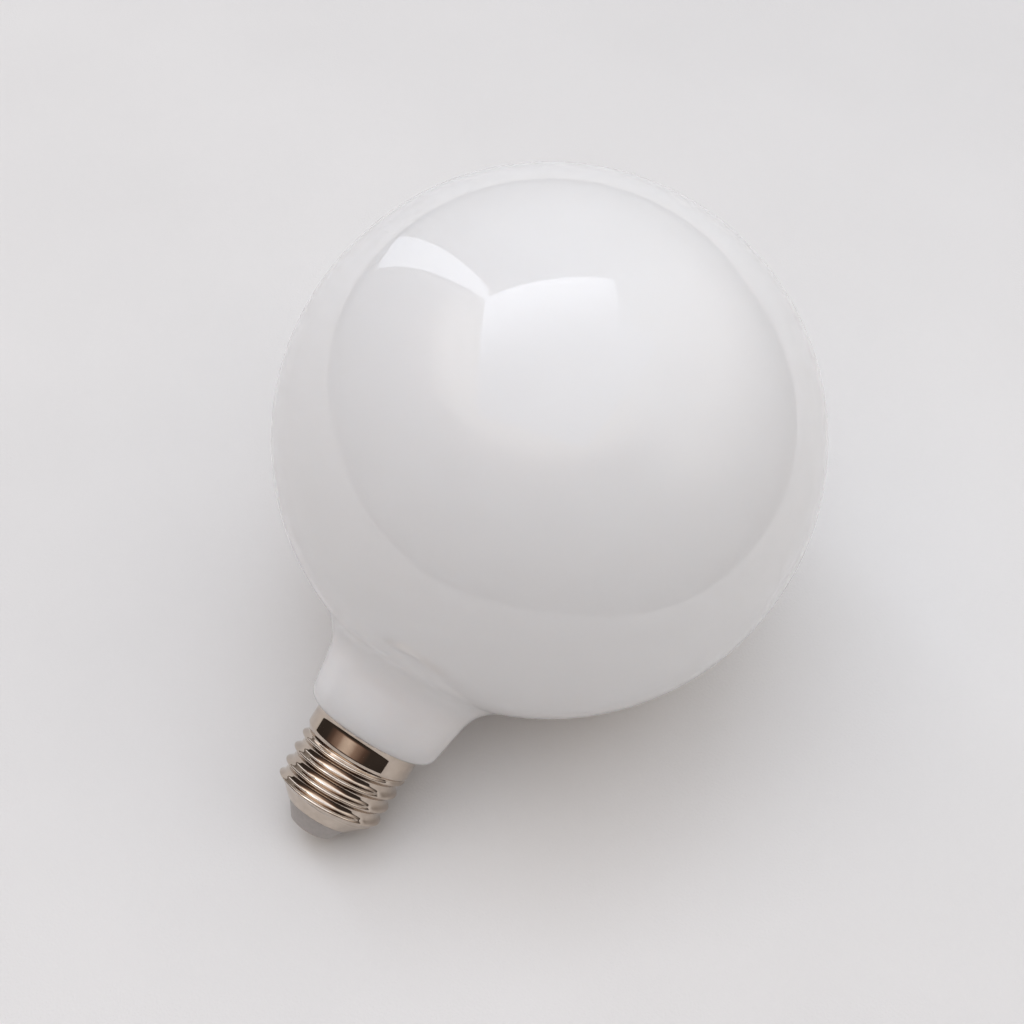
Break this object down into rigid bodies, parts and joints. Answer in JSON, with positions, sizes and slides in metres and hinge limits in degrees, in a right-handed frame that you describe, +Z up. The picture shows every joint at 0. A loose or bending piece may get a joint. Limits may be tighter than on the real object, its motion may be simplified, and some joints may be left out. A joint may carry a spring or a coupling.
{
  "type": "led light bulb",
  "caption": "Opal glass globe LED bulb with a nickel-plated E27 screw cap, lying on its side.",
  "frame": {"origin": "on the surface that the bulb lies on, under the middle of its overall box", "axes": "+Z up, +X from the globe towards the screw cap along the surface; the bulb's axis dips 33 degrees below +X"},
  "size_m": [0.1526, 0.125, 0.1251],
  "materials": {
    "opal_glass": "white opal glass, polished",
    "nickel_plate": "bright nickel plate on rolled sheet",
    "grey_plastic": "moulded, fine satin",
    "cement": "cured cement",
    "circuit_board": "white solder mask",
    "black_package": "moulded epoxy",
    "can_sleeve": "shrink sleeve",
    "winding": "enamelled copper wire",
    "resistor_body": "cement coating",
    "lead_wire": "tinned wire"
  },
  "bodies": {
    "root": {"glass_bulb": "opal_glass", "screw_shell": "nickel_plate", "centre_contact": "nickel_plate", "insulator": "grey_plastic", "capping_cement": "cement", "driver_board": "circuit_board", "bridge_rectifier": "black_package", "driver_chip": "black_package", "sense_resistor": "black_package", "smoothing_capacitor": "can_sleeve", "choke": "winding", "fuse_resistor": "resistor_body", "feed_lead_1": "lead_wire", "feed_lead_2": "lead_wire", "live_lead": "lead_wire", "neutral_lead": "lead_wire"}
  },
  "joints": []
}
